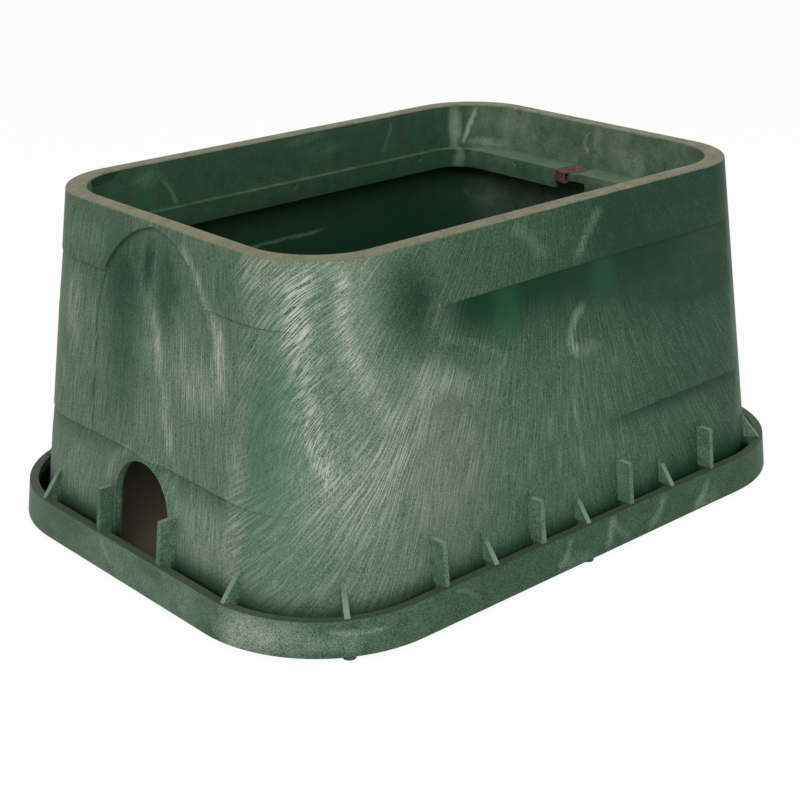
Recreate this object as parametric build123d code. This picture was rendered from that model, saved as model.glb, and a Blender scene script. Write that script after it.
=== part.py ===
from build123d import *
from math import cos, radians, sin
import os

# Plan of the rim, the uppermost edge of the box, in millimetres
rim_half_length = 272.6
rim_half_width = 187.8
rim_corner = 73.4
rim_thickness = 16.0

# Walls, heights measured from the flange underside
rim_height = 305.0
wall_lean = 0.118
wall_thickness = 6.6
foot_corner = 99.0
upper_step_drop = 54.0
upper_step_height = rim_height - upper_step_drop
lower_step_height = 105.0
end_step_depth = 3.0
step_flare_clearance = 1.0
lower_flare_height = 40.0

# Sloping recess planes of the long sides
upper_flat_start = -147.0
lower_flat_start = 12.8
flat_gauge_reach = 190.0
upper_flat_depth = 4.5
lower_flat_depth = 4.9
lower_flat_meet_height = 50.0

# Lid seat and the lip that hangs from its inner edge
seat_drop = 44.0
seat_height = rim_height - seat_drop
seat_wall_inset = 18.0
rim_corner_draw_in = 9.6
rim_inner_corner = rim_corner - rim_corner_draw_in
seat_corner_draw_in = 6.0
seat_wall_corner = rim_inner_corner - seat_corner_draw_in
seat_plate_thickness = 6.0
lip_inset_end = 46.8
lip_inset_side = 25.8
lip_corner_top = 39.0
lip_corner_foot = 31.0
lip_depth = 19.0
lip_foot_height = seat_height - lip_depth
lip_thickness = 6.0

# Notch in the lip under the lid clip
notch_width = 40.0
notch_centre = 2.0
notch_edge_depth = 8.5
notch_top_height = seat_height - notch_edge_depth

# Groove in the wall above the clip, for the lid bolt; it runs out upwards as the wall leans back
groove_width = 18.0
groove_centre = 8.0
groove_depth = 1.7

# Dimples in the lip face
lip_mark_radius = 3.2
lip_mark_depth = 1.2
lip_mark_drop = 5.0
lip_mark_side_gap = 57.8
lip_mark_end_gap = 84.0

# Flange with its upturned edge
flange_reach = 20.3
flange_half_length = rim_half_length + wall_lean * rim_height + flange_reach
flange_half_width = rim_half_width + wall_lean * rim_height + flange_reach
flange_corner_ease = 5.6
flange_corner = foot_corner + flange_reach + flange_corner_ease
flange_floor_thickness = 6.0
edge_height = 30.3
edge_draw_in = 5.2
edge_corner_draw_in = 9.2
edge_corner_top = flange_corner - edge_corner_draw_in
edge_thickness = 8.0
edge_foot_thickening = 1.0

# Pipe slot in each end wall, and the bulge of the wall around it
slot_half_width = 39.0
slot_spring_height = 63.2
bulge_rise = 3.6
bulge_flat_width = 1.5
bulge_ramp = 1.4
bulge_root_depth = 4.0
bulge_wall_thickness = 7.5

# Arch panel of each end wall
panel_half_width = 84.0
panel_foot_height = 98.0
panel_shoulder_drop = 100.0
panel_haunch_half_width = 62.0
panel_haunch_drop = 39.0
panel_apex_drop = 4.0
panel_apex_height = rim_height - panel_apex_drop
panel_depth_top = 5.0
panel_depth_foot = 0.5

# Upright ribs and triangular gussets
rib_thickness = 4.8
rib_height = 68.5
gusset_height = 55.0
rib_set_back = 2.5
rib_pitch = 114.0
slot_rib_clearance = 3.6
gusset_end_place = 134.0
corner_gusset_angle = 60.0

# Pegs under the flange
peg_radius = 5.7
peg_height = 5.0
peg_edge_inset = 9.0

# Steel lid clip, which sits a little askew in a shallow pocket of the seat
clip_width = 16.0
clip_thickness = 1.6
clip_top_length = 26.0
clip_play = 0.9
clip_web_height = notch_edge_depth + clip_thickness + clip_play
clip_foot_length = 20.0
clip_hole_radius = 4.0
clip_offset = 12.0
clip_turn = -18.0
pocket_margin = 1.5
bolt_slot_margin = 4.0

# Working margins
overcut = 2.0
rim_round = 1.5


def spread(height):
    return wall_lean * (rim_height - height)


def wall_corner(height):
    return rim_corner + (foot_corner - rim_corner) * (rim_height - height) / rim_height


def outline(half_length, half_width, corner, height):
    return Pos(0, 0, height) * RectangleRounded(2 * half_length, 2 * half_width, corner)


def wall_outline(height, inset=0.0, grow_length=0.0, grow_width=0.0):
    half_length = rim_half_length + spread(height) - inset + grow_length
    half_width = rim_half_width + spread(height) - inset + grow_width
    return outline(half_length, half_width, wall_corner(height) - inset, height)


def skin(low, high):
    return loft([low, high], ruled=True)


# A band of wall between two heights, its end faces drawn in at the top and flush at the foot
def stepped_band(foot, top, flush, inset):
    plain = skin(wall_outline(foot, inset), wall_outline(top, inset))
    ease = step_flare_clearance
    drawn = wall_outline(top, inset, -end_step_depth, end_step_depth)
    if flush > foot:
        cutter = skin(wall_outline(flush, inset, ease, ease), drawn)
        cutter += skin(wall_outline(foot, inset, ease, ease), wall_outline(flush, inset, ease, ease))
    else:
        cutter = skin(wall_outline(foot, inset, ease, ease), drawn)
    return plain & cutter


def cutter_size():
    return 2 * (flange_half_length + flange_half_width)


# Everything outside a sloping plane given by three points on one long side
def outer_half(first, second, third):
    origin = Vector(*first)
    across = Vector(*second) - origin
    up = Vector(*third) - origin
    normal = across.cross(up).normalized()
    if normal.Y > 0:
        normal = normal * -1
    plane = Plane(origin=origin, x_dir=across.normalized(), z_dir=normal)
    size = cutter_size()
    return plane * Box(size, size, size, align=(Align.CENTER, Align.CENTER, Align.MIN))


def side_face(height, inset, depth):
    return -(rim_half_width + spread(height) - inset - depth)


def slab(low, high):
    size = cutter_size()
    block = Box(size, size, high - low, align=(Align.CENTER, Align.CENTER, Align.MIN))
    return Pos(0, 0, low) * block


def upper_flat_cut(inset, top):
    reach = flat_gauge_reach
    plane = outer_half(
        (upper_flat_start, side_face(upper_step_height, inset, 0.0), upper_step_height),
        (reach, side_face(upper_step_height, inset, upper_flat_depth), upper_step_height),
        (lower_flat_start, side_face(lower_step_height, inset, 0.0), lower_step_height),
    )
    return plane & slab(lower_step_height, top)


def lower_flat_cut(inset, foot):
    reach = flat_gauge_reach
    plane = outer_half(
        (lower_flat_start, side_face(lower_step_height, inset, 0.0), lower_step_height),
        (reach, side_face(lower_step_height, inset, lower_flat_depth), lower_step_height),
        (reach, side_face(lower_flat_meet_height, inset, 0.0), lower_flat_meet_height),
    )
    return plane & slab(foot, lower_step_height)


# The walls as a solid block, drawn in by the inset, from the given foot to the given top
def wall_block(inset, foot, top):
    lower = stepped_band(foot, lower_step_height, lower_flare_height, inset)
    upper = stepped_band(lower_step_height, top, lower_step_height, inset)
    for turn in (0, 180):
        lower -= Rot(0, 0, turn) * lower_flat_cut(inset, foot)
        upper -= Rot(0, 0, turn) * upper_flat_cut(inset, top)
    return lower + upper


def rim_band():
    return skin(wall_outline(upper_step_height), wall_outline(rim_height))


def seat_recess():
    low = outline(rim_half_length - seat_wall_inset, rim_half_width - seat_wall_inset,
                  seat_wall_corner, seat_height)
    high = outline(rim_half_length - rim_thickness, rim_half_width - rim_thickness,
                   rim_inner_corner, rim_height)
    over = outline(rim_half_length - rim_thickness, rim_half_width - rim_thickness,
                   rim_inner_corner, rim_height + overcut)
    return skin(low, high) + skin(high, over)


# Distance of the end lips' inner faces from the middle of the box
def lip_edge():
    return rim_half_length - lip_inset_end


def lip_outline(height, corner, grow):
    return outline(lip_edge() + grow, rim_half_width - lip_inset_side + grow,
                   corner + grow, height)


def lip_block():
    return skin(lip_outline(lip_foot_height, lip_corner_foot, lip_thickness),
                lip_outline(seat_height, lip_corner_top, lip_thickness))


def lip_opening():
    return skin(lip_outline(lip_foot_height - overcut, lip_corner_foot, 0.0),
                lip_outline(seat_height + overcut, lip_corner_top, 0.0))


def clip_notch():
    depth = lip_thickness + 2 * overcut
    block = Box(depth, notch_width, notch_top_height - lip_foot_height + overcut,
                align=(Align.MIN, Align.CENTER, Align.MAX))
    return Pos(lip_edge() - overcut, notch_centre, notch_top_height) * block


# Slot in the seat plate under the hole of the clip, open towards the lip
def bolt_slot():
    half_width = clip_hole_radius + bolt_slot_margin
    length = clip_top_length / 2 + overcut
    height = seat_height - notch_top_height + 2 * overcut
    block = Box(length, 2 * half_width, height, align=(Align.MIN, Align.CENTER, Align.MAX))
    round_end = Cylinder(half_width, height, align=(Align.CENTER, Align.CENTER, Align.MAX))
    shape = block + Pos(length, 0, 0) * round_end
    return Pos(lip_edge() - overcut, clip_offset, seat_height + overcut) * shape


# Shallow pocket in the seat that takes the top arm of the clip flush
def clip_pocket():
    arm = Pos(0, 0, seat_height) * clip_place() * Box(
        clip_top_length + 2 * pocket_margin, clip_width + 2 * pocket_margin, 2 * clip_thickness,
        align=(Align.MIN, Align.CENTER, Align.CENTER))
    size = arm.bounding_box()
    block = Box(size.max.X - lip_edge() + overcut, size.max.Y - size.min.Y, 2 * clip_thickness,
                align=(Align.MIN, Align.MIN, Align.CENTER))
    return Pos(lip_edge() - overcut, size.min.Y, seat_height) * block


def bolt_groove():
    foot_x = rim_half_length - seat_wall_inset
    block = Box(groove_depth + overcut, groove_width, seat_drop + overcut,
                align=(Align.MIN, Align.CENTER, Align.MIN))
    return Pos(foot_x - overcut, groove_centre, seat_height) * block


def lip_marks():
    height = seat_height - lip_mark_drop
    face_x = lip_edge()
    face_y = rim_half_width - lip_inset_side
    dimple = Cone(lip_mark_radius, lip_mark_radius / 2, lip_mark_depth,
                  align=(Align.CENTER, Align.CENTER, Align.MIN))
    side_place = face_x - lip_mark_side_gap
    end_place = face_y - lip_mark_end_gap
    marks = []
    for turn in (0, 180):
        for place in (-side_place, 0, side_place):
            marks.append(Rot(0, 0, turn) * Pos(place, face_y, height) * Rot(-90, 0, 0) * dimple)
        for place in (-end_place, end_place):
            marks.append(Rot(0, 0, turn) * Pos(face_x, place, height) * Rot(0, 90, 0) * dimple)
    return marks


# Flange: a flat floor and the edge that turns up round it
def flange():
    foot = outline(flange_half_length, flange_half_width, flange_corner, 0.0)
    top = outline(flange_half_length - edge_draw_in, flange_half_width - edge_draw_in,
                  edge_corner_top, edge_height)
    inner = edge_draw_in + edge_thickness
    thick = edge_foot_thickening
    gutter_foot = outline(flange_half_length - inner - thick, flange_half_width - inner - thick,
                          edge_corner_top - edge_thickness - thick, flange_floor_thickness)
    gutter_top = outline(flange_half_length - inner, flange_half_width - inner,
                         edge_corner_top - edge_thickness, edge_height)
    over = outline(flange_half_length - inner, flange_half_width - inner,
                   edge_corner_top - edge_thickness, edge_height + overcut)
    return skin(foot, top) - skin(gutter_foot, gutter_top) - skin(gutter_top, over)


def pipe_slot():
    foot = flange_floor_thickness
    sketch = Rectangle(2 * slot_half_width, slot_spring_height - foot,
                       align=(Align.CENTER, Align.MIN))
    sketch += Pos(0, slot_spring_height - foot) * Circle(slot_half_width)
    plane = Plane(origin=(rim_half_length, 0, foot), x_dir=(0, 1, 0), z_dir=(1, 0, 0))
    return extrude(plane * sketch, spread(foot) + bulge_rise + overcut)


# Arch on the leaning wall, set outwards by the given distance
def bulge_outline(offset):
    low = flange_floor_thickness
    half = slot_half_width + bulge_flat_width + bulge_ramp * (bulge_rise - offset)
    plane = Plane(origin=(rim_half_length + spread(low) + offset, 0, low), x_dir=(0, 1, 0),
                  z_dir=Vector(0, 1, 0).cross(Vector(-wall_lean, 0, 1)).normalized())
    spring = slot_spring_height - low
    arch = CenterArc((0, spring), half, 0, 180)
    sides = Polyline((-half, spring), (-half, 0), (half, 0), (half, spring))
    return plane * make_face([arch, *sides.edges()])


def slot_bulge():
    return skin(bulge_outline(-bulge_root_depth), bulge_outline(bulge_rise))


def arch_panel():
    top_x = rim_half_length + spread(panel_apex_height) - panel_depth_top
    foot_x = rim_half_length + spread(panel_foot_height) - panel_depth_foot
    slope = Vector(top_x - foot_x, 0, panel_apex_height - panel_foot_height)
    plane = Plane(origin=(foot_x, 0, panel_foot_height), x_dir=(0, 1, 0),
                  z_dir=Vector(0, 1, 0).cross(slope).normalized())
    stretch = slope.length / (panel_apex_height - panel_foot_height)
    shoulder = (rim_height - panel_shoulder_drop - panel_foot_height) * stretch
    haunch = (rim_height - panel_haunch_drop - panel_foot_height) * stretch
    apex = slope.length
    rise = ThreePointArc((panel_half_width, shoulder), (panel_haunch_half_width, haunch), (0, apex))
    fall = ThreePointArc((0, apex), (-panel_haunch_half_width, haunch), (-panel_half_width, shoulder))
    sides = Polyline((-panel_half_width, shoulder), (-panel_half_width, 0),
                     (panel_half_width, 0), (panel_half_width, shoulder))
    face = make_face([*rise.edges(), *fall.edges(), *sides.edges()])
    return extrude(plane * face, panel_depth_top + 2 * overcut)


# Side view of a rib or gusset: distance out from the plan centre against height.
# The outer end leans as the wall does and has the given reach at the height of the flange edge.
def plate_profile(wall_reach, outer_reach, top, outer_top):
    low = flange_floor_thickness / 2
    bite = wall_thickness / 2
    return Polyline((wall_reach + spread(low) - bite, low),
                    (wall_reach + spread(top) - bite, top),
                    (wall_reach + spread(top), top),
                    (outer_reach + wall_lean * (edge_height - outer_top), outer_top),
                    (outer_reach + wall_lean * (edge_height - low), low), close=True)


def standing_plate(wall_reach, outer_reach, top, outer_top):
    face = make_face(plate_profile(wall_reach, outer_reach, top, outer_top).edges())
    plane = Plane(origin=(0, 0, 0), x_dir=(1, 0, 0), z_dir=(0, -1, 0))
    return extrude(plane * face, rib_thickness / 2, both=True)


def end_plate(place, top, outer_top):
    reach = flange_half_length - edge_draw_in - rib_set_back
    return Pos(0, place, 0) * standing_plate(rim_half_length, reach, top, outer_top)


def side_plate(place, top, outer_top):
    reach = flange_half_width - edge_draw_in - rib_set_back
    plate = standing_plate(rim_half_width, reach, top, outer_top)
    return Pos(place, 0, 0) * Rot(0, 0, 90) * plate


def corner_plate():
    centre_x = flange_half_length - edge_draw_in - edge_corner_top
    centre_y = flange_half_width - edge_draw_in - edge_corner_top
    height = edge_height
    wall_centre_x = rim_half_length + spread(height) - wall_corner(height)
    shift = (wall_centre_x - centre_x) * cos(radians(corner_gusset_angle))
    wall_reach = wall_corner(height) + shift - spread(height)
    plate = standing_plate(wall_reach, edge_corner_top - rib_set_back, gusset_height, edge_height)
    return Pos(centre_x, centre_y, 0) * Rot(0, 0, corner_gusset_angle) * plate


def mirrored(piece):
    return [piece, mirror(piece, Plane.YZ), mirror(piece, Plane.XZ), Rot(0, 0, 180) * piece]


def plates():
    pieces = []
    for turn in (0, 180):
        spin = Rot(0, 0, turn)
        for place in (-3 * rib_pitch / 2, -rib_pitch / 2, rib_pitch / 2, 3 * rib_pitch / 2):
            pieces.append(spin * side_plate(place, rib_height, rib_height))
        for place in (-rib_pitch, 0, rib_pitch):
            pieces.append(spin * side_plate(place, gusset_height, edge_height))
        for side in (-1, 1):
            pieces.append(spin * end_plate(side * gusset_end_place, gusset_height, edge_height))
            place = slot_half_width + slot_rib_clearance + rib_thickness / 2
            pieces.append(spin * end_plate(side * place, rib_height, rib_height))
    return pieces + mirrored(corner_plate())


def pegs():
    peg = Cylinder(peg_radius, peg_height + flange_floor_thickness / 2,
                   align=(Align.CENTER, Align.CENTER, Align.MIN))
    peg = Pos(0, 0, -peg_height) * peg
    middle = Pos(0, flange_half_width - peg_edge_inset, 0) * peg
    reach = flange_corner - peg_edge_inset
    corner_x = flange_half_length - flange_corner + reach * cos(radians(corner_gusset_angle))
    corner_y = flange_half_width - flange_corner + reach * sin(radians(corner_gusset_angle))
    return [middle, mirror(middle, Plane.XZ)] + mirrored(Pos(corner_x, corner_y, 0) * peg)


def make_body():
    body = wall_block(0.0, 0.0, upper_step_height) + rim_band()
    body -= wall_block(wall_thickness, -overcut, seat_height - seat_plate_thickness)
    ring = lip_block() - lip_opening()
    body -= seat_recess()
    body -= lip_opening()
    body += ring
    body += flange() - wall_block(wall_thickness, -overcut, seat_height - seat_plate_thickness)
    for turn in (0, 180):
        body -= Rot(0, 0, turn) * arch_panel()
    body += plates()
    for turn in (0, 180):
        body += Rot(0, 0, turn) * slot_bulge()
        body -= Rot(0, 0, turn) * Pos(-bulge_wall_thickness, 0, 0) * slot_bulge()
        body -= Rot(0, 0, turn) * pipe_slot()
    body -= [clip_notch(), bolt_slot(), clip_pocket(), bolt_groove()]
    body -= lip_marks()
    body += pegs()
    top_edges = body.edges().filter_by_position(Axis.Z, rim_height, rim_height)
    body = fillet(top_edges, rim_round)
    return Pos(0, 0, peg_height) * body


# Where the bend of the clip meets the lip, with the clip turned about it and clear of the lip
def clip_place():
    shift = clip_width / 2 * sin(radians(abs(clip_turn)))
    return Pos(lip_edge() - shift, clip_offset, 0) * Rot(0, 0, clip_turn)


# Bent strap: an arm in the seat's pocket, a web over its edge and a foot below
def make_clip():
    thick = clip_thickness
    web_foot = -clip_web_height
    outline_points = [
        (-thick, 0),
        (clip_top_length, 0),
        (clip_top_length, -thick),
        (0, -thick),
        (0, web_foot + thick),
        (clip_foot_length, web_foot + 2 * thick),
        (clip_foot_length, web_foot + thick),
        (0, web_foot),
        (-thick, web_foot),
    ]
    face = make_face(Polyline(*outline_points, close=True).edges())
    plane = Plane(origin=(0, 0, 0), x_dir=(1, 0, 0), z_dir=(0, -1, 0))
    strap = extrude(plane * face, clip_width / 2, both=True)
    strap -= Pos(clip_top_length / 2, 0, 0) * Cylinder(clip_hole_radius, 2 * clip_web_height)
    return Pos(0, 0, peg_height + seat_height) * clip_place() * strap


body = make_body()
clip = make_clip()

os.makedirs("parts", exist_ok=True)
export_step(body, "parts/body.step")
export_step(clip, "parts/clip.step")
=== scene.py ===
"""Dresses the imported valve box: green plastic with flow marks, a rusty clip and a plain studio."""

import logging
import math
from dataclasses import dataclass, field
from enum import Enum
from typing import Any, Iterable, Union

import bpy
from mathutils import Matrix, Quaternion, Vector

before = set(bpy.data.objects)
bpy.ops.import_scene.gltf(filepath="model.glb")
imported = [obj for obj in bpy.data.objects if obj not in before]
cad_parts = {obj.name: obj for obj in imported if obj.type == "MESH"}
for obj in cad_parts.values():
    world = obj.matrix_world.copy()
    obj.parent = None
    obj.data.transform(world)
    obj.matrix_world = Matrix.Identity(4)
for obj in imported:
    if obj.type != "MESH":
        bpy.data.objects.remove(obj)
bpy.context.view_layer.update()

log = logging.getLogger("valve_box")

MM = 0.001
PEG_HEIGHT = 5.0

Number = Union[int, float]
Colour = tuple[float, float, float, float]
Place = tuple[float, float]

WHITE: Colour = (1.0, 1.0, 1.0, 1.0)


def colour(code: str) -> Colour:
    """Turns a colour as written on a screen into the linear values that a shader takes.

    Args:
        code: Six hexadecimal digits, red first.

    Returns:
        Red, green, blue and alpha, linear.
    """
    parts = [int(code[i:i + 2], 16) / 255.0 for i in (0, 2, 4)]
    linear = [p / 12.92 if p <= 0.04045 else ((p + 0.055) / 1.055) ** 2.4 for p in parts]
    return (linear[0], linear[1], linear[2], 1.0)


class Signal:
    """A shader socket on which Python's operators work."""

    def __init__(self, shade: "Shade", socket: bpy.types.NodeSocket) -> None:
        """Keeps the socket and the tree it belongs to."""
        self.shade = shade
        self.socket = socket

    def of(self, output: str) -> "Signal":
        """Another output of the same node."""
        return Signal(self.shade, self.socket.node.outputs[output])

    def math(self, operation: str, *others: Union["Signal", Number],
             clamp: bool = False) -> "Signal":
        """Feeds this value and the others to a Math node.

        Args:
            operation: The Math node's operation.
            others: The second and third values, where the operation has them.
            clamp: Whether the result is kept from 0 to 1.

        Returns:
            The node's result.
        """
        inputs = dict(enumerate((self, *others)))
        return self.shade.add("Math", {"operation": operation, "use_clamp": clamp}, inputs)

    def __add__(self, other: Union["Signal", Number]) -> "Signal":
        """This value plus the other."""
        return self.math("ADD", other)

    __radd__ = __add__

    def __sub__(self, other: Union["Signal", Number]) -> "Signal":
        """This value less the other."""
        return self.math("SUBTRACT", other)

    def __rsub__(self, other: Number) -> "Signal":
        """The other value less this one."""
        return self.shade.add("Math", {"operation": "SUBTRACT"}, {0: other, 1: self})

    def __mul__(self, other: Union["Signal", Number]) -> "Signal":
        """This value times the other."""
        return self.math("MULTIPLY", other)

    __rmul__ = __mul__

    def __truediv__(self, other: Union["Signal", Number]) -> "Signal":
        """This value divided by the other."""
        return self.math("DIVIDE", other)

    def __neg__(self) -> "Signal":
        """This value with its sign turned."""
        return self.math("MULTIPLY", -1.0)

    def __abs__(self) -> "Signal":
        """The size of this value."""
        return self.math("ABSOLUTE")

    def at_least(self, other: Union["Signal", Number]) -> "Signal":
        """The larger of this value and the other."""
        return self.math("MAXIMUM", other)

    def at_most(self, other: Union["Signal", Number]) -> "Signal":
        """The smaller of this value and the other."""
        return self.math("MINIMUM", other)

    def rise(self, low: Number, high: Number, top: Number = 1.0) -> "Signal":
        """Goes smoothly from 0 at one value to the top at another, which may be the lower one.

        Args:
            low: The value at which it starts from 0.
            high: The value at which it reaches the top.
            top: The strength that it reaches.

        Returns:
            The eased value.
        """
        return self.shade.add(
            "MapRange", {"interpolation_type": "SMOOTHSTEP"},
            {"Value": self, "From Min": low, "From Max": high, "To Min": 0.0, "To Max": top})

    def within(self, middle: Number, half: Number, top: Number = 1.0) -> "Signal":
        """Is at the top in the middle and fades smoothly to 0 at half a width from it."""
        return abs(self - middle).rise(half, 0.0, top)

    def toward(self, other: Union["Signal", Number], share: "Signal") -> "Signal":
        """Goes from this value at a share of 0 to the other at a share of 1."""
        return (other - self) * share + self

    def clamped(self) -> "Signal":
        """This value kept from 0 to 1."""
        return self.math("ADD", 0.0, clamp=True)

    def dot(self, direction: tuple[float, float, float]) -> "Signal":
        """This vector's length along a fixed one."""
        return self.shade.add("VectorMath", {"operation": "DOT_PRODUCT"},
                              {0: self, 1: direction}, "Value")

    def length(self) -> "Signal":
        """This vector's length."""
        return self.shade.add("VectorMath", {"operation": "LENGTH"}, {0: self}, "Value")


class Shade:
    """A material's node tree, in which every node is made by the add method."""

    def __init__(self, tree: bpy.types.NodeTree) -> None:
        """Empties the tree, ready for nodes."""
        self.tree = tree
        self.tree.nodes.clear()

    def add(self, kind: str, settings: dict[str, Any] | None = None,
            inputs: dict[Union[int, str], Any] | None = None,
            output: Union[int, str] = 0) -> Signal:
        """Makes a node.

        Args:
            kind: The node's type without its ShaderNode prefix.
            settings: Properties that are set first; a ramp's stops are pairs of place and colour.
            inputs: Values or signals by socket name or number.
            output: The output to return.

        Returns:
            The chosen output as a signal.
        """
        node = self.tree.nodes.new("ShaderNode" + kind)
        for name, value in (settings or {}).items():
            if name == "stops":
                self._set_stops(node.color_ramp, value)
            else:
                setattr(node, name, value)
        for key, value in (inputs or {}).items():
            if isinstance(value, Signal):
                self.tree.links.new(value.socket, node.inputs[key])
            else:
                node.inputs[key].default_value = value
        return Signal(self, node.outputs[output] if node.outputs else node.inputs[0])

    @staticmethod
    def _set_stops(ramp: bpy.types.ColorRamp, stops: Iterable[tuple[float, Colour]]) -> None:
        """Gives a colour ramp its stops.

        Args:
            ramp: The ramp, with the two stops that it starts with.
            stops: Pairs of place and colour, in rising order.
        """
        for index, (place, tint) in enumerate(stops):
            stop = ramp.elements[index] if index < 2 else ramp.elements.new(place)
            stop.position = place
            stop.color = tint

    def vector(self, x: Any = 0.0, y: Any = 0.0, z: Any = 0.0) -> Signal:
        """Puts three values together as a vector."""
        return self.add("CombineXYZ", None, {"X": x, "Y": y, "Z": z})

    def noise(self, place: Signal, scale: float, detail: float = 2.0, rough: float = 0.5,
              flat: bool = False) -> Signal:
        """Cloudy noise about 0.5.

        Args:
            place: The vector at which it is read.
            scale: Cells for each unit of the vector.
            detail: Number of finer layers.
            rough: Strength of the finer layers.
            flat: Whether it lies in two dimensions only.

        Returns:
            The noise from 0 to 1.
        """
        return self.add("TexNoise", {"noise_dimensions": "2D" if flat else "3D"},
                        {"Vector": place, "Scale": scale, "Detail": detail, "Roughness": rough})

    def mix(self, share: Union[Signal, Number], first: Any, second: Any) -> Signal:
        """Blends two colours.

        Args:
            share: How much of the second colour there is.
            first: The colour at a share of 0.
            second: The colour at a share of 1.

        Returns:
            The blended colour.
        """
        return self.add("Mix", {"data_type": "RGBA"}, {0: share, 6: first, 7: second}, 2)

    def tone(self, value: Signal) -> Signal:
        """The plastic's colour at a tone."""
        return self.add("ValToRGB", {"stops": TONES}, {0: value.at_least(0.0)})

    def bump(self, height: Signal, strength: float, distance: float) -> Signal:
        """Turns a height into a surface normal."""
        return self.add("Bump", None,
                        {"Height": height, "Strength": strength, "Distance": distance})


PATCH_FADE: Place = (1.25, 0.25)


@dataclass(frozen=True)
class Slope:
    """A change of tone on the wall that fades in between two distances and between two heights."""

    strength: float
    around: Place | None = None
    up: Place | None = None
    under: float | None = None

    def draw(self, shade: Shade, wall: Signal) -> Signal:
        """The change of tone over the wall.

        Args:
            shade: Not used.
            wall: The place on the unrolled wall.

        Returns:
            The strength, signed.
        """
        share: Union[Signal, Number] = self.strength
        if self.around:
            share = wall.dot((1.0, 0.0, 0.0)).rise(*self.around) * share
        if self.up:
            share = wall.dot((0.0, 1.0, 0.0)).rise(*self.up) * share
        if self.under:
            share = wall.dot((0.0, 1.0, 0.0)).rise(self.under + 0.5, self.under - 0.5) * share
        return share


@dataclass(frozen=True)
class Patch:
    """A soft oval of paler or darker plastic, in millimetres on the unrolled wall."""

    place: Place
    half: Place
    turn: float
    strength: float

    def draw(self, shade: Shade, wall: Signal) -> Signal:
        """The patch's strength over the wall.

        Args:
            shade: The tree that the nodes go into.
            wall: The place on the unrolled wall.

        Returns:
            The strength, signed.
        """
        (x, y), (long, short) = self.place, self.half
        if self.turn:
            c, s = math.cos(math.radians(self.turn)), math.sin(math.radians(self.turn))
            moved = shade.vector(wall.dot((c / long, s / long, 0.0)) - (c * x + s * y) / long,
                                 wall.dot((-s / short, c / short, 0.0)) - (c * y - s * x) / short)
        else:
            moved = shade.add("VectorMath", {"operation": "MULTIPLY_ADD"},
                              {0: wall, 1: (1.0 / long, 1.0 / short, 0.0),
                               2: (-x / long, -y / short, 0.0)})
        return moved.length().rise(*PATCH_FADE, self.strength)


@dataclass(frozen=True)
class Streak:
    """A curved mark through three places on the unrolled wall, in millimetres."""

    start: Place
    middle: Place
    end: Place
    half_width: float
    strength: float
    fade: float = 0.4

    def circle(self) -> tuple[Vector, float]:
        """Finds the circle through the three places.

        Returns:
            Its centre and radius.
        """
        (ax, ay), (bx, by), (cx, cy) = self.start, self.middle, self.end
        twice = 2.0 * (ax * (by - cy) + bx * (cy - ay) + cx * (ay - by))
        if abs(twice) < 1e-3:
            twice = 1e-3
        aa, bb, cc = ax * ax + ay * ay, bx * bx + by * by, cx * cx + cy * cy
        centre = Vector(((aa * (by - cy) + bb * (cy - ay) + cc * (ay - by)) / twice,
                         (aa * (cx - bx) + bb * (ax - cx) + cc * (bx - ax)) / twice, 0.0))
        return centre, (Vector((ax, ay, 0.0)) - centre).length

    def draw(self, shade: Shade, wall: Signal) -> Signal:
        """The mark's strength over the wall.

        Args:
            shade: The tree that the nodes go into.
            wall: The place on the unrolled wall.

        Returns:
            The strength, signed.
        """
        centre, radius = self.circle()
        first, second = [Vector((*place, 0.0)) - centre for place in (self.start, self.end)]
        aim = (first + second).normalized()
        if aim.dot(Vector((*self.middle, 0.0)) - centre) < 0.0:
            aim = -aim
        wide = aim.angle(first)
        offset = shade.add("VectorMath", {"operation": "SUBTRACT"}, {0: wall, 1: tuple(centre)})
        reach = offset.length()
        limits = [math.cos(wide * share) for share in (1.0, 1.0 - self.fade)]
        ends = (offset.dot(tuple(aim)) / reach).rise(*limits)
        return reach.within(radius, self.half_width, self.strength) * ends


Mark = Union[Slope, Patch, Streak]


@dataclass(frozen=True)
class FanShape:
    """How a fan of grain lines lies on the unrolled wall, in millimetres."""

    centre: Place
    reach: float
    width: float = 1.2
    stroke: float = 34.0
    rings: bool = False


class Fan(Enum):
    """The ways in which the plastic ran along the wall, each a pattern of grain lines."""

    DOWN_THE_SIDE = FanShape((204.0, 445.0), 330.0)
    BELOW_THE_STEP = FanShape((84.0, 268.0), 160.0)
    ROUND_THE_CORNER = FanShape((22.0, 125.0), 100.0, 1.05, 14.0, True)
    DOWN_THE_END = FanShape((-254.0, 900.0), 750.0)


@dataclass(frozen=True)
class WallChart:
    """Unrolls the walls: s runs round the box from the corner of side and end, z is the height.

    The half of the box that lies beyond the other diagonal is the same, turned half round.
    """

    corner_x: float = -204.0
    corner_y: float = -119.0
    corner_radius: float = 86.0
    seam_x: float = 265.0
    seam_y: float = 180.0

    def unroll(self, shade: Shade, x: Signal, y: Signal) -> Signal:
        """The distance round the box.

        Args:
            shade: The tree that the nodes go into.
            x: Distance along the box, in millimetres.
            y: Distance across the box, in millimetres.

        Returns:
            The distance from the corner, in millimetres.
        """
        beyond = (x / self.seam_x + y / self.seam_y).math("GREATER_THAN", 0.0)
        flip = 1.0 - beyond * 2.0
        along = x * flip - self.corner_x
        across = y * flip - self.corner_y
        turned = (-along.at_most(0.0)).math("ARCTAN2", -across.at_most(-0.001))
        return along.at_least(0.0) - across.at_least(0.0) - turned * self.corner_radius


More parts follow.
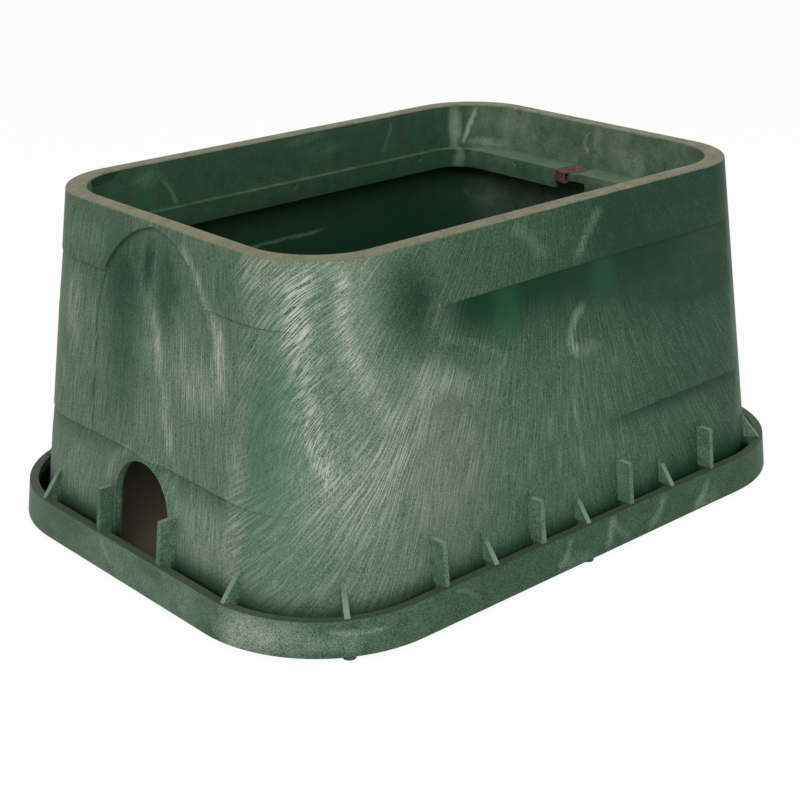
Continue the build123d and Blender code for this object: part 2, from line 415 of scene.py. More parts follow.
@dataclass(frozen=True)
class WallOutline:
    """The rounded rectangle of the wall at each height, in millimetres."""

    rim_height: float = 305.0
    core_x: float = 199.2
    core_y: float = 114.4
    radius: float = 73.4
    core_growth: float = 0.0341
    radius_growth: float = 0.0839

    def measure(self, shade: Shade, place: tuple[Signal, Signal, Signal],
                normal: Signal) -> tuple[Signal, Signal]:
        """How a surface point lies to the wall's outer face.

        Args:
            shade: The tree that the nodes go into.
            place: Distances along and across the box and height over the flange's underside.
            normal: The surface's normal.

        Returns:
            The distance outside the wall in millimetres, negative inside, and how far the surface
            faces away from the box, from -1 to 1.
        """
        x, y, z = place
        below = self.rim_height - z
        out_x = (abs(x) - (below * self.core_growth + self.core_x)).at_least(0.0) * x.math("SIGN")
        out_y = (abs(y) - (below * self.core_growth + self.core_y)).at_least(0.0) * y.math("SIGN")
        out = shade.vector(out_x, out_y)
        reach = out.length()
        away = shade.add("VectorMath", {"operation": "DOT_PRODUCT"}, {0: out, 1: normal}, "Value")
        return reach - (below * self.radius_growth + self.radius), away / reach.at_least(0.01)


BROAD_TONES: tuple[Mark, ...] = (
    Slope(-0.139, around=(-20.0, 100.0)),
    Slope(-0.100, around=(100.0, 400.0)),
    Slope(-0.076, around=(-20.0, 60.0), up=(150.0, 235.0)),
    # Painted shade under the overhang of the upper step on the side.
    Slope(-0.042, around=(60.0, 90.0), up=(205.0, 250.0), under=251.0),
    Slope(-0.010, up=(110.0, 60.0)),
    Slope(-0.066, around=(-90.0, -150.0)),
    Slope(-0.030, around=(-250.0, -290.0)),
    Slope(-0.030, around=(230.0, 330.0), up=(150.0, 235.0)),
    # Painted shadow under the lower step, on the end wall and at the side's far end.
    Slope(-0.087, around=(-110.0, -135.0), up=(84.0, 105.0), under=105.0),
    Slope(-0.060, around=(225.0, 300.0), up=(90.0, 105.0), under=105.0),
    Slope(-0.065, around=(-128.0, -150.0), up=(200.0, 251.0)),
)

END_MARKS: tuple[Mark, ...] = (
    Patch((-374.0, 212.0), (16.0, 36.0), 0.0, 0.14),
    Patch((-362.0, 62.0), (46.0, 34.0), 0.0, 0.07),
    Patch((-358.0, 272.0), (34.0, 18.0), 8.0, 0.04),
    Patch((-300.0, 212.0), (34.0, 90.0), 0.0, -0.12),
    Streak((-312.0, 60.0), (-300.0, 92.0), (-270.0, 107.0), 8.0, 0.11),
    Patch((-266.0, 268.0), (9.0, 26.0), 0.0, -0.14),
    Streak((-257.0, 240.0), (-243.0, 190.0), (-219.0, 108.0), 10.0, 0.20),
    Patch((-238.0, 252.0), (22.0, 50.0), 10.0, -0.11),
    Streak((-230.0, 245.0), (-218.0, 226.0), (-204.0, 203.0), 9.0, 0.08),
    Streak((-228.0, 104.0), (-212.0, 88.0), (-206.0, 58.0), 8.0, 0.05),
    Patch((-190.0, 186.0), (36.0, 24.0), -12.0, 0.14),
    Streak((-224.0, 299.0), (-184.0, 256.0), (-156.0, 214.0), 11.0, 0.22),
    Patch((-175.0, 62.0), (40.0, 34.0), 0.0, 0.12),
    Patch((-162.0, 210.0), (13.0, 30.0), 8.0, 0.29),
)

SEAM_MARKS: tuple[Mark, ...] = (
    Patch((-136.0, 62.0), (16.0, 40.0), 0.0, 0.09),
    Patch((-134.0, 108.0), (14.0, 74.0), 0.0, 0.10),
)

CORNER_MARKS: tuple[Mark, ...] = (
    Patch((-128.0, 294.0), (26.0, 16.0), 0.0, 0.13),
    Patch((-104.0, 170.0), (22.0, 76.0), 0.0, -0.12),
    Patch((-100.0, 290.0), (16.0, 14.0), 0.0, 0.05),
    Patch((-80.0, 258.0), (16.0, 26.0), 0.0, 0.17),
    Streak((-68.0, 303.0), (-80.0, 258.0), (-72.0, 212.0), 18.0, 0.27),
    Streak((-74.0, 232.0), (-66.0, 180.0), (-48.0, 120.0), 14.0, 0.19),
    Patch((-50.0, 60.0), (60.0, 30.0), 0.0, -0.05),
    Streak((-48.0, 302.0), (-50.0, 240.0), (-38.0, 174.0), 9.0, -0.06),
    Patch((-34.0, 120.0), (40.0, 44.0), 20.0, 0.07),
    Streak((-29.0, 303.0), (-33.0, 258.0), (-22.0, 214.0), 13.0, 0.22),
    Streak((-26.0, 232.0), (-14.0, 198.0), (12.0, 168.0), 14.0, 0.11),
)

SIDE_MARKS: tuple[Mark, ...] = (
    Patch((12.0, 162.0), (62.0, 26.0), 38.0, 0.09),
    Streak((56.0, 206.0), (20.0, 158.0), (-14.0, 104.0), 22.0, 0.06),
    Patch((26.0, 262.0), (38.0, 50.0), 0.0, -0.15),
    Patch((46.0, 196.0), (30.0, 20.0), 0.0, 0.15),
    Patch((60.0, 120.0), (60.0, 60.0), 0.0, 0.07),
    Patch((78.0, 184.0), (30.0, 14.0), -30.0, 0.12),
    Streak((58.0, 226.0), (100.0, 212.0), (138.0, 190.0), 6.0, 0.05),
    Patch((120.0, 184.0), (26.0, 16.0), -20.0, 0.04),
    Streak((147.0, 301.0), (168.0, 284.0), (190.0, 262.0), 9.0, 0.06),
    Streak((236.0, 213.0), (212.0, 196.0), (226.0, 173.0), 8.0, 0.21),
    Streak((212.0, 176.0), (214.0, 120.0), (222.0, 60.0), 8.0, 0.04),
    Patch((232.0, 176.0), (22.0, 9.0), -8.0, 0.08),
    Streak((257.0, 300.0), (240.0, 279.0), (224.0, 253.0), 8.0, 0.10),
    Patch((330.0, 70.0), (130.0, 30.0), 0.0, 0.04),
)

INSIDE_MARKS: tuple[Mark, ...] = (
    Slope(0.040, around=(-110.0, -160.0)),
    Slope(0.110, around=(-40.0, -80.0), up=(240.0, 262.0)),
    Slope(0.260, around=(-50.0, -100.0), up=(250.0, 215.0)),
    Patch((426.0, 304.0), (26.0, 8.0), 0.0, -0.30),
    Slope(-0.020, around=(-20.0, 20.0), up=(263.0, 240.0)),
    Streak((-78.0, 303.0), (-62.0, 286.0), (-47.0, 262.0), 6.0, 0.42),
    Patch((-33.0, 284.0), (14.0, 30.0), 0.0, 0.30),
    Patch((-32.0, 252.0), (16.0, 12.0), 0.0, 0.16),
    Patch((-92.0, 266.0), (44.0, 5.0), 0.0, 0.20),
    Patch((-140.0, 284.0), (26.0, 26.0), 20.0, 0.12),
    Patch((-168.0, 282.0), (14.0, 22.0), 0.0, 0.06),
    Patch((-262.0, 290.0), (7.0, 20.0), 0.0, 0.18),
    Streak((-254.0, 296.0), (-243.0, 285.0), (-250.0, 275.0), 3.0, 0.20),
    Patch((-292.0, 288.0), (18.0, 18.0), 0.0, 0.12),
    Patch((-308.0, 274.0), (16.0, 14.0), 20.0, 0.14),
    Streak((66.0, 303.0), (70.0, 288.0), (82.0, 268.0), 3.5, 0.06),
    Patch((181.0, 299.0), (26.0, 5.0), 0.0, 0.06),
    Patch((160.0, 284.0), (30.0, 10.0), 0.0, 0.03),
    Patch((368.0, 292.0), (20.0, 10.0), 0.0, 0.07),
    Streak((352.0, 290.0), (341.0, 277.0), (338.0, 262.0), 3.0, 0.08),
    # Painted highlight: a pale line along the far inner wall.
    Streak((252.0, 197.5), (195.0, 194.0), (138.0, 194.5), 3.5, 0.30),
    Streak((-52.0, 212.0), (-76.0, 196.0), (-104.0, 204.0), 5.0, 0.08),
)

TEAL_PATCH = Patch((-98.0, 150.0), (38.0, 130.0), 0.0, 0.38)
TAN_PATCH = Patch((60.0, 120.0), (60.0, 90.0), 0.0, 0.14)

# Saturated green under the upper step on the side: painted green reflection.
PAINTED_GREEN_REFLECTIONS: tuple[Mark, ...] = (
    Patch((137.0, 230.0), (20.0, 40.0), 0.0, 0.38),
    Patch((257.0, 236.0), (20.0, 34.0), 0.0, 0.34),
)

# Saturated green patches inside: the same painted green reflection.
INSIDE_GREEN_REFLECTIONS: tuple[Mark, ...] = (
    Patch((34.0, 276.0), (7.0, 26.0), 0.0, 0.30),
    Patch((20.0, 250.0), (24.0, 14.0), 0.0, 0.35),
    Patch((-190.0, 252.0), (30.0, 12.0), 0.0, 0.40),
    Patch((375.0, 272.0), (14.0, 22.0), 0.0, 0.35),
)

RUST_SPECKS: tuple[Mark, ...] = (
    Patch((-133.0, 149.5), (1.7, 1.7), 0.0, 1.0),
    Patch((63.0, 252.0), (1.8, 1.4), 0.0, 0.9),
    Patch((32.5, 68.0), (1.6, 1.2), 0.0, 1.0),
)

FLANGE_MARKS: tuple[Mark, ...] = (
    Slope(-0.040, around=(-30.0, 60.0)),
    Slope(-0.055, around=(-290.0, -345.0)),
    Slope(0.030, around=(-160.0, -200.0)),
    Patch((-104.0, 14.0), (24.0, 22.0), 12.0, 0.32),
    Patch((-78.0, 16.0), (16.0, 18.0), 0.0, 0.14),
    Streak((-62.0, 24.0), (-42.0, 20.0), (-20.0, 18.0), 3.5, 0.16),
    Patch((-54.0, 12.0), (22.0, 9.0), 0.0, 0.10),
    Streak((40.0, 27.0), (56.0, 18.0), (66.0, 8.0), 4.0, 0.07),
    Streak((177.0, 29.0), (172.0, 17.0), (154.0, 5.0), 6.0, 0.13),
    Patch((182.0, 5.0), (22.0, 9.0), 0.0, 0.06),
    Streak((233.0, 29.0), (230.0, 16.0), (216.0, 4.0), 6.0, 0.12),
    Streak((233.0, 29.0), (238.0, 16.0), (254.0, 4.0), 5.0, 0.08),
    Streak((305.0, 30.0), (298.0, 17.0), (274.0, 5.0), 7.0, 0.13),
    Streak((365.0, 27.0), (358.0, 13.0), (340.0, 3.0), 7.0, 0.13),
    Patch((362.0, 5.0), (22.0, 8.0), 0.0, 0.08),
    Patch((-165.0, 16.0), (16.0, 18.0), 25.0, 0.06),
    Streak((-290.0, 30.0), (-283.0, 18.0), (-270.0, 6.0), 5.0, 0.08),
    Patch((-215.0, 24.0), (26.0, 8.0), 0.0, -0.08),
    Patch((-340.0, 24.0), (40.0, 8.0), 0.0, -0.04),
)

TONES: tuple[tuple[float, Colour], ...] = (
    (0.00, (0.011, 0.044, 0.023, 1.0)),
    (0.08, (0.050, 0.100, 0.060, 1.0)),
    (0.18, (0.100, 0.164, 0.109, 1.0)),
    (0.39, (0.200, 0.270, 0.195, 1.0)),
    (0.60, (0.300, 0.353, 0.268, 1.0)),
    (1.00, (0.470, 0.490, 0.400, 1.0)),
)


@dataclass(frozen=True)
class Spot:
    """What is known about the place on the moulding that is being shaded, in millimetres."""

    s: Signal
    z: Signal
    up: Signal
    outside: Signal
    away: Signal
    inside: Signal
    exact: Signal
    wall: Signal
    fine: Signal
    waver: Signal
    wander: Signal
    relief: Signal


@dataclass(frozen=True)
class MouldedPlastic:
    """Green structural-foam plastic with silvery flow marks, tan at the rim and dark inside, partly
    by painted shade; painted shadows and green reflections lie under the steps.

    A pair of places says where a band is gone and where it is full, in millimetres.
    """

    base_tone: float = 0.287
    # Dark inside: the plastic's own tone and painted shade together.
    inside_tone_and_shade: float = 0.045
    flange_tone: float = 0.11
    seam_tone: float = 0.12
    # Dark green painted shade, used under the upper step and at the wall's foot.
    painted_shade_green: Colour = (0.001, 0.032, 0.013, 1.0)
    painted_green_reflection: Colour = (0.018, 0.105, 0.045, 1.0)
    teal: Colour = (0.070, 0.190, 0.130, 1.0)
    rib_green: Colour = (0.045, 0.110, 0.065, 1.0)
    rib_pale: Colour = (0.200, 0.290, 0.210, 1.0)
    seat_brown: Colour = (0.090, 0.130, 0.070, 1.0)
    rim_tan: Colour = (0.205, 0.198, 0.125, 1.0)
    rim_dark: Colour = (0.075, 0.078, 0.044, 1.0)
    edge_dark: Colour = (0.050, 0.062, 0.038, 1.0)
    rust_speck: Colour = (0.350, 0.130, 0.030, 1.0)
    # Near-black for the flange's gutter: dirt and painted shade together.
    dirt_and_shade: Colour = (0.010, 0.010, 0.007, 1.0)
    roughness: float = 0.5
    gloss: float = 0.09
    wander_scale: float = 0.012
    waver_scale: float = 0.07
    fine_scale: float = 0.75
    grain_sway: float = 9.0
    bundle_width: float = 5.0
    bundle_length: float = 80.0
    seam_ahead: Place = (422.0, 466.0)
    seam_behind: Place = (-395.0, -440.0)
    calm_foot: Place = (30.0, 140.0)
    foot_shade_heights: Place = (46.0, 20.0)
    outer_face: Place = (-8.0, -6.0)
    close_to_wall: Place = (6.0, 3.0)
    under_step: Place = (251.5, 250.5)
    step_shadow_heights: Place = (200.0, 250.0)
    step_shadow_start: Place = (58.0, 105.0)
    step_shadow_end: Place = (400.0, 330.0)
    gutter_height: Place = (27.0, 20.0)
    gutter_reach: Place = (10.9, 10.4)
    daylight_reach: Place = (150.0, 262.0)
    seat_top: Place = (262.5, 262.0)
    seat_underside: Place = (255.0, 256.0)
    edge_top: Place = (29.8, 30.2)
    lit_ribs: Place = (-236.0, -228.0)
    end_start: Place = (-118.0, -162.0)
    edge_reach: Place = (9.5, 10.5)
    edge_height: Place = (30.9, 30.6)
    rib_start: Place = (30.4, 30.9)
    rib_end: Place = (75.0, 74.0)
    rib_face: Place = (1.0, 1.5)
    rib_middle: Place = (4.2, 4.8)
    rim_top: Place = (303.4, 304.2)
    chart: WallChart = field(default_factory=WallChart)
    outline: WallOutline = field(default_factory=WallOutline)

    def survey(self, shade: Shade) -> Spot:
        """Finds out where on the moulding the shaded place is.

        Args:
            shade: The tree that the nodes go into.

        Returns:
            Its place round the box, its height and the noises that all finishes share.
        """
        place = shade.add("TexCoord", None, None, "Object")
        millimetres = shade.add("VectorMath", {"operation": "SCALE"}, {0: place, "Scale": 1.0 / MM})
        split = shade.add("SeparateXYZ", None, {0: millimetres}, "X")
        x, y, z = split, split.of("Y"), split.of("Z") - PEG_HEIGHT
        normal = shade.add("NewGeometry", None, None, "Normal")
        up = shade.add("SeparateXYZ", None, {0: normal}, "Z")
        outside, away = self.outline.measure(shade, (x, y, z), normal)
        facing_in = away.rise(0.05, -0.05) * outside.rise(-2.0, -2.6)
        inside = facing_in.at_least(outside.rise(-7.5, -8.2))
        s = self.chart.unroll(shade, x, y)
        wander = shade.noise(millimetres, self.wander_scale) - 0.5
        waver = shade.noise(millimetres, self.waver_scale, rough=0.6) - 0.5
        fine = shade.noise(millimetres, self.fine_scale, rough=0.65) - 0.5
        exact = shade.vector(s, z)
        wall = shade.vector(s + wander * 12.0 + waver * 9.0, z - wander * 10.0 + waver * 5.0)
        relief = shade.bump(fine, 0.30, 0.5 * MM)
        return Spot(s, z, up, outside, away, inside, exact, wall, fine, waver, wander, relief)

    def grain(self, shade: Shade, spot: Spot, fan: Fan) -> Signal:
        """Fine lines along the way that the plastic ran.

        Args:
            shade: The tree that the nodes go into.
            spot: The shaded place.
            fan: Which pattern of lines.

        Returns:
            Lines about 0, drawn out along the flow.
        """
        shape = fan.value
        centre_s, centre_z = shape.centre
        ds = spot.s + spot.wander * self.grain_sway - centre_s
        dz = spot.z - spot.wander * self.grain_sway - centre_z
        reach = shade.vector(ds, dz).length()
        if shape.rings:
            across, along = reach, ds.math("ARCTAN2", dz) * shape.reach
        else:
            across, along = ds.math("ARCTAN2", -dz) * shape.reach, reach
        lines = shade.vector(across / shape.width, along / shape.stroke)
        hair = shade.noise(lines, 1.0, 1.0, 0.55, flat=True)
        bundles = shade.vector(across / self.bundle_width, along / self.bundle_length)
        strand = shade.noise(bundles, 1.0, 1.0, 0.5, flat=True)
        return (hair.rise(0.38, 0.76) - 0.30) * 1.6 + (strand - 0.5) * 0.4

    def coat(self, shade: Shade, spot: Spot, tint: Signal) -> Signal:
        """Makes the plastic's shader in a colour.

        Args:
            shade: The tree that the nodes go into.
            spot: The shaded place.
            tint: The colour.

        Returns:
            The shader.
        """
        return shade.add("BsdfPrincipled", None,
                         {"Base Color": tint, "Roughness": spot.fine * 0.2 + self.roughness,
                          "Normal": spot.relief, "Specular IOR Level": self.gloss})

    def outer_wall(self, shade: Shade, spot: Spot, lines: Signal, marks: Iterable[Mark]) -> Signal:
        """Makes the outer wall's shader.

        Args:
            shade: The tree that the nodes go into.
            spot: The shaded place.
            lines: The grain.
            marks: The pale and dark marks of this part of the wall.

        Returns:
            The shader.
        """
        s, z, outside, fine = spot.s, spot.z, spot.outside, spot.fine
        speckle = fine.rise(0.10, 0.22)
        broad = self.total(shade, spot.exact, BROAD_TONES) + self.base_tone
        drawn = self.total(shade, spot.wall, marks)
        seam = s.rise(*self.seam_ahead) + s.rise(*self.seam_behind)
        tone = (broad + drawn).at_least(0.0).toward(self.seam_tone, seam)
        tone = tone + (spot.waver + spot.wander) * 0.06
        foot_calm = z.rise(*self.calm_foot) * 0.45 + 0.55
        lines = lines * (drawn * 2.0 + 0.75).at_least(0.45) * (1.0 - seam * 0.7) * foot_calm
        tone = tone * (1.0 + lines + fine * 2.3) + lines * 0.022 + fine * 0.12 + speckle * 0.06
        surface = shade.tone(tone)
        surface = shade.mix(TEAL_PATCH.draw(shade, spot.wall), surface, self.teal)
        surface = shade.mix(TAN_PATCH.draw(shade, spot.wall), surface, self.rim_tan)
        # Painted shadow in dark green under the overhang of the upper step on the side.
        step_shadow = z.rise(*self.step_shadow_heights) * z.rise(*self.under_step)
        step_shadow = step_shadow * s.rise(*self.step_shadow_start) * s.rise(*self.step_shadow_end)
        surface = shade.mix((step_shadow * (1.15 - lines * 0.35)).clamped(), surface, self.painted_shade_green)
        # Painted green reflection under the upper step.
        green = self.total(shade, spot.exact, PAINTED_GREEN_REFLECTIONS) * z.rise(*self.under_step)
        surface = shade.mix(green, surface, self.painted_green_reflection)
        # Painted shade in dark green at the foot of the wall, just over the flange's gutter.
        foot = outside.rise(*self.close_to_wall) * outside.rise(*self.outer_face)
        surface = shade.mix(foot * z.rise(*self.foot_shade_heights) * 0.85, surface, self.painted_shade_green)
        # Near-black in the flange's gutter beside the wall: dirt and painted shade together.
        gutter_dirt_and_shade = outside.rise(*self.outer_face) * outside.rise(*self.gutter_reach)
        surface = shade.mix(gutter_dirt_and_shade * z.rise(*self.gutter_height), surface, self.dirt_and_shade)
        rust = self.total(shade, spot.exact, RUST_SPECKS)
        return self.coat(shade, spot, shade.mix(rust.at_most(1.0), surface, self.rust_speck))

    def side_wall(self, shade: Shade, spot: Spot) -> Signal:
        """Makes the shader of the long side and the corner, with its green patches, some of them
        painted reflection.

        Args:
            shade: The tree that the nodes go into.
            spot: The shaded place.

        Returns:
            The shader.
        """
        fans = (Fan.DOWN_THE_SIDE, Fan.BELOW_THE_STEP, Fan.ROUND_THE_CORNER)
        side, step, corner = [self.grain(shade, spot, fan) for fan in fans]
        to_corner = spot.s.rise(0.0, -60.0) * spot.z.rise(90.0, 180.0)
        to_step = spot.s.rise(90.0, 10.0) * spot.z.rise(230.0, 160.0)
        lines = (side * 0.75).toward(step * 0.85, to_step).toward(corner, to_corner)
        marks = (*SEAM_MARKS, *CORNER_MARKS, *SIDE_MARKS)
        return self.outer_wall(shade, spot, lines, marks)

    def end_wall(self, shade: Shade, spot: Spot) -> Signal:
        """Makes the shader of the end wall.

        Args:
            shade: The tree that the nodes go into.
            spot: The shaded place.

        Returns:
            The shader.
        """
        lines = self.grain(shade, spot, Fan.DOWN_THE_END) * 0.65
        return self.outer_wall(shade, spot, lines, (*SEAM_MARKS, *END_MARKS))

    def inner_wall(self, shade: Shade, spot: Spot) -> Signal:
        """Makes the shader of the recess, the seat and the chamber.

        Args:
            shade: The tree that the nodes go into.
            spot: The shaded place.

        Returns:
            The shader.
        """
        fine, waver, z = spot.fine, spot.waver, spot.z
        marks = self.total(shade, spot.wall, INSIDE_MARKS) + self.inside_tone_and_shade
        # Painted shade: the inside darkens downward, away from the opening.
        painted_depth_shade = z.rise(*self.daylight_reach) * 0.85 + 0.15
        tone = marks * painted_depth_shade * (1.0 + fine * 1.8 + waver * 1.5) + fine * 0.03
        surface = shade.tone(tone)
        # Painted green reflection inside.
        green = self.total(shade, spot.exact, INSIDE_GREEN_REFLECTIONS)
        surface = shade.mix(green, surface, self.painted_green_reflection)
        seat = spot.up.rise(0.5, 0.8) * z.rise(*self.seat_top) * z.rise(*self.seat_underside)
        surface = shade.mix(seat * (0.45 + waver * 2.0), surface, self.seat_brown)
        return self.coat(shade, spot, surface)

    def flange(self, shade: Shade, spot: Spot) -> Signal:
        """Makes the shader of the flange's raised edge.

        Args:
            shade: The tree that the nodes go into.
            spot: The shaded place.

        Returns:
            The shader.
        """
        fine, waver, z = spot.fine, spot.waver, spot.z
        fans = self.total(shade, spot.wall, FLANGE_MARKS) + self.flange_tone
        paler_end = spot.s.rise(-120.0, -160.0) * 0.06
        tone = fans * (1.0 + fine * 3.6 + waver * 1.4) + fine * 0.09 + paler_end
        surface = shade.tone(tone)
        top = z.rise(*self.edge_top) * spot.up.rise(0.6, 0.9)
        return self.coat(shade, spot, shade.mix(top * (0.75 + fine), surface, self.edge_dark))

    def ribs(self, shade: Shade, spot: Spot) -> Signal:
        """Makes the shader of the ribs and gussets over the flange.

        Args:
            shade: The tree that the nodes go into.
            spot: The shaded place.

        Returns:
            The shader.
        """
        # Painted light: ribs on the end are lighter where the lamp falls on them.
        lit = spot.s.rise(*self.lit_ribs) * 0.35
        share = (spot.fine * 3.0 + spot.waver + lit + 0.1).clamped()
        tint = shade.mix(share, self.rib_green, self.rib_pale)
        # Painted highlight on the upward faces of the ribs and gussets.
        top = spot.up.rise(0.25, 0.6) * 0.8
        return self.coat(shade, spot, shade.mix(top, tint, self.rib_pale))

    def rim(self, shade: Shade, spot: Spot) -> Signal:
        """Makes the shader of the rim's top.

        Args:
            shade: The tree that the nodes go into.
            spot: The shaded place.

        Returns:
            The shader.
        """
        share = (spot.fine * 2.2 + spot.waver * 1.5 + 0.65).clamped()
        return self.coat(shade, spot, shade.mix(share, self.rim_dark, self.rim_tan))

    def build(self) -> bpy.types.Material:
        """Makes the material, part by part, so that only the part that is seen is worked out.

        Returns:
            The finished material.
        """
        material = bpy.data.materials.new("moulded_green_plastic")
        material.use_nodes = True
        shade = Shade(material.node_tree)
        spot = self.survey(shade)
        z, outside = spot.z, spot.outside
        sideways = abs(spot.away).rise(0.6, 0.4) * abs(spot.up).rise(0.6, 0.4)
        low = z.rise(*self.rib_start) * z.rise(*self.rib_end)
        rib = (outside.rise(*self.rib_face) * sideways).at_least(outside.rise(*self.rib_middle))
        shares = {
            self.end_wall: spot.s.rise(*self.end_start),
            self.inner_wall: spot.inside,
            self.flange: outside.rise(*self.edge_reach) * z.rise(*self.edge_height),
            self.ribs: rib * low,
            self.rim: z.rise(*self.rim_top) * spot.up.rise(0.2, 0.6),
        }
        shader = self.side_wall(shade, spot)
        for part, share in shares.items():
            shader = shade.add("MixShader", None, {0: share, 1: shader, 2: part(shade, spot)})
        shade.add("OutputMaterial", None, {"Surface": shader})
        return material

    @staticmethod
    def total(shade: Shade, wall: Signal, marks: Iterable[Mark]) -> Signal:
        """Adds up the marks.

        Args:
            shade: The tree that the nodes go into.
            wall: The place on the unrolled wall.
            marks: The marks to draw.

        Returns:
            Their summed strength.
        """
        result: Union[Signal, Number] = 0.0
        for mark in marks:
            result = mark.draw(shade, wall) + result
        return result


@dataclass(frozen=True)
class RustySteel:
    """Thin steel strap gone brown."""

    brown: Colour = colour("6b4a3c")
    dark: Colour = colour("33241f")
    bright: Colour = colour("94705a")
    blotch_scale: float = 160.0
    fine_scale: float = 900.0

    def build(self) -> bpy.types.Material:
        """Makes the material.

        Returns:
            The finished material.
        """
        material = bpy.data.materials.new("rusty_steel")
        material.use_nodes = True
        shade = Shade(material.node_tree)
        place = shade.add("TexCoord", None, None, "Object")
        blotch = shade.noise(place, self.blotch_scale, 4.0, 0.65)
        fine = shade.noise(place, self.fine_scale, 3.0, 0.6)
        tint = shade.mix(blotch.rise(0.35, 0.65), self.dark, self.brown)
        tint = shade.mix(fine.rise(0.55, 0.75) * 0.6, tint, self.bright)
        shader = shade.add("BsdfPrincipled", None,
                           {"Base Color": tint, "Roughness": blotch * 0.3 + 0.45,
                            "Metallic": fine.rise(0.6, 0.75) * 0.6,
                            "Normal": shade.bump(fine, 0.5, 0.3 * MM)})
        shade.add("OutputMaterial", None, {"Surface": shader})
        return material


@dataclass
class Box:
    """The moulded body and its clip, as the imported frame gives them."""

    crease_angle: float = 32.0
    weld_distance: float = 0.01 * MM

    def dress(self) -> None:
        """Softens the edges of the moulding and gives body and clip their materials."""
        self.soften(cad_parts["body"])
        self.paint(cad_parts["body"], MouldedPlastic().build())
        self.paint(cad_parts["clip"], RustySteel().build())

    def soften(self, piece: bpy.types.Object) -> None:
        """Joins the loose triangles for shading and marks the true edges sharp.

        Args:
            piece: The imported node.
        """
        mesh = piece.data
        cells = [tuple(round(c / self.weld_distance) for c in vertex.co)
                 for vertex in mesh.vertices]
        faces: dict[tuple, list[Vector]] = {}
        keys = {}
        for polygon in mesh.polygons:
            for pair in polygon.edge_keys:
                key = tuple(sorted(cells[i] for i in pair))
                keys[pair] = key
                faces.setdefault(key, []).append(polygon.normal.copy())
        limit = math.radians(self.crease_angle)
        sharp = mesh.attributes.get("sharp_edge")
        sharp = sharp or mesh.attributes.new("sharp_edge", "BOOLEAN", "EDGE")
        flags = []
        for edge in mesh.edges:
            pair = (min(edge.vertices), max(edge.vertices))
            normals = faces.get(keys.get(pair), [])
            flags.append(len(normals) != 2 or normals[0].angle(normals[1], math.pi) > limit)
        sharp.data.foreach_set("value", flags)
        for polygon in mesh.polygons:
            polygon.use_smooth = True
        weld = piece.modifiers.new("joined", "WELD")
        weld.merge_threshold = self.weld_distance
        log.info("%s: %d sharp edges of %d", piece.name, sum(flags), len(flags))

    @staticmethod
    def paint(piece: bpy.types.Object, material: bpy.types.Material) -> None:
        """Puts the material in every slot of the piece."""
        piece.data.materials.clear()
        piece.data.materials.append(material)


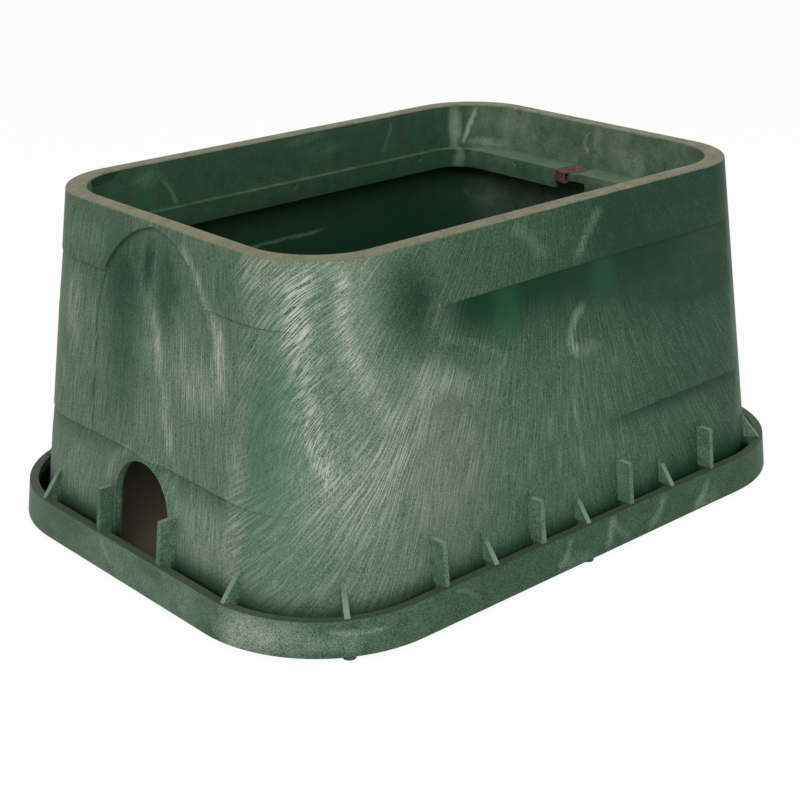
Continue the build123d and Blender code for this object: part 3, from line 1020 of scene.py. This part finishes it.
@dataclass
class Studio:
    """A plain pale floor with a painted shadow under the box, a white backdrop and soft lamps."""

    floor_half: float = 4.0
    floor_colour: Colour = (0.86, 0.86, 0.86, 1.0)
    painted_shadow_colour: Colour = (0.085, 0.072, 0.052, 1.0)
    shadow_core: Place = (0.204, 0.119)
    shadow_fade: Place = (0.112, 0.108)
    whiteness: float = 0.94
    daylight: float = 0.28
    lamps: tuple[tuple[str, tuple[float, float, float], float, float], ...] = (
        ("key_lamp", (-2.3, -1.9, 2.3), 1.5, 62.0),
        ("front_lamp", (-0.2, -2.9, 2.0), 1.8, 18.0),
        ("top_lamp", (0.3, 0.2, 3.0), 1.6, 26.0),
    )
    target: tuple[float, float, float] = (0.0, 0.0, 0.14)

    def build(self) -> None:
        """Makes the floor, the lamps and the world."""
        self.lay_floor()
        for name, place, size, power in self.lamps:
            self.hang_lamp(name, Vector(place), size, power)
        self.fill_world()

    @staticmethod
    def seen_directly(shade: Shade) -> Signal:
        """Is 1 for what the camera sees, also in a mirror or through glass, and 0 for light."""
        path = shade.add("LightPath", None, None, "Is Camera Ray")
        return path.at_least(path.of("Is Glossy Ray")).at_least(path.of("Is Transmission Ray"))

    def lay_floor(self) -> None:
        """Lays the floor on which the box stands, with a painted shadow inside the box's footprint.
        """
        bpy.ops.object.select_all(action="DESELECT")
        bpy.ops.mesh.primitive_plane_add(size=2.0 * self.floor_half, location=(0.0, 0.0, 0.0))
        floor = bpy.context.active_object
        floor.name = "studio_floor"
        material = bpy.data.materials.new("pale_floor")
        material.use_nodes = True
        shade = Shade(material.node_tree)
        seen = self.seen_directly(shade)
        place = shade.add("TexCoord", None, None, "Object")
        x = shade.add("SeparateXYZ", None, {0: place}, "X")
        # Painted shadow: dark warm grey on the floor within the box's footprint.
        core_x, core_y = self.shadow_core
        out_x = (abs(x) - core_x).at_least(0.0)
        out_y = (abs(x.of("Y")) - core_y).at_least(0.0)
        painted_floor_shadow = shade.vector(out_x, out_y).length().rise(*self.shadow_fade)
        tint = shade.mix(painted_floor_shadow, self.floor_colour, self.painted_shadow_colour)
        matt = shade.add("BsdfDiffuse", None, {"Color": tint})
        lit = shade.add("Emission", None, {"Color": WHITE, "Strength": 1.0})
        share = seen * (1.0 - painted_floor_shadow) * self.whiteness
        both = shade.add("MixShader", None, {0: share, 1: matt, 2: lit})
        shade.add("OutputMaterial", None, {"Surface": both})
        floor.data.materials.append(material)

    def hang_lamp(self, name: str, place: Vector, size: float, power: float) -> None:
        """Hangs a soft square lamp that points at the box.

        Args:
            name: The lamp's name.
            place: Where it hangs.
            size: Its side, in metres.
            power: Its power, in watts.
        """
        data = bpy.data.lights.new(name, "AREA")
        data.shape = "SQUARE"
        data.size = size
        data.energy = power
        lamp = bpy.data.objects.new(name, data)
        bpy.context.scene.collection.objects.link(lamp)
        lamp.location = place
        lamp.rotation_mode = "QUATERNION"
        lamp.rotation_quaternion = (Vector(self.target) - place).to_track_quat("-Z", "Y")

    def fill_world(self) -> None:
        """Makes the world white to look at and a plain grey to light with."""
        world = bpy.data.worlds.new("studio_world")
        world.use_nodes = True
        bpy.context.scene.world = world
        shade = Shade(world.node_tree)
        seen = self.seen_directly(shade)
        light = shade.add("Background", None, {"Color": WHITE, "Strength": self.daylight})
        white = shade.add("Background", None, {"Color": WHITE, "Strength": 1.0})
        both = shade.add("MixShader", None, {0: seen, 1: light, 2: white})
        shade.add("OutputWorld", None, {"Surface": both})


@dataclass
class PhotoCamera:
    """The camera where the photographer stood."""

    place: tuple[float, float, float] = (-0.992017, -1.087366, 0.669735)
    azimuth: float = -42.14554
    elevation: float = 21.75791
    roll: float = 0.36926
    focal_length: float = 74.40
    sensor_width: float = 36.0
    clip: Place = (0.05, 50.0)

    def build(self) -> None:
        """Makes the camera and gives it to the scene."""
        data = bpy.data.cameras.new("photo_camera")
        data.sensor_width = self.sensor_width
        data.lens = self.focal_length
        data.clip_start, data.clip_end = self.clip
        data.dof.use_dof = False
        camera = bpy.data.objects.new("photo_camera", data)
        bpy.context.scene.collection.objects.link(camera)
        a, e = math.radians(self.azimuth), math.radians(self.elevation)
        back = Vector((math.sin(a) * math.cos(e), -math.cos(a) * math.cos(e), math.sin(e)))
        turn = Quaternion((0.0, 0.0, 1.0), -math.radians(self.roll))
        camera.rotation_mode = "QUATERNION"
        camera.rotation_quaternion = (-back).to_track_quat("-Z", "Y") @ turn
        camera.location = self.place
        bpy.context.scene.camera = camera


def main() -> None:
    """Builds the camera, the box and the studio in order."""
    logging.basicConfig(level=logging.INFO, format="%(message)s")
    PhotoCamera().build()
    log.info("camera set")
    Box().dress()
    log.info("box dressed")
    Studio().build()
    log.info("studio built")
    bpy.context.scene.view_settings.view_transform = "Standard"


if __name__ == "__main__":
    main()
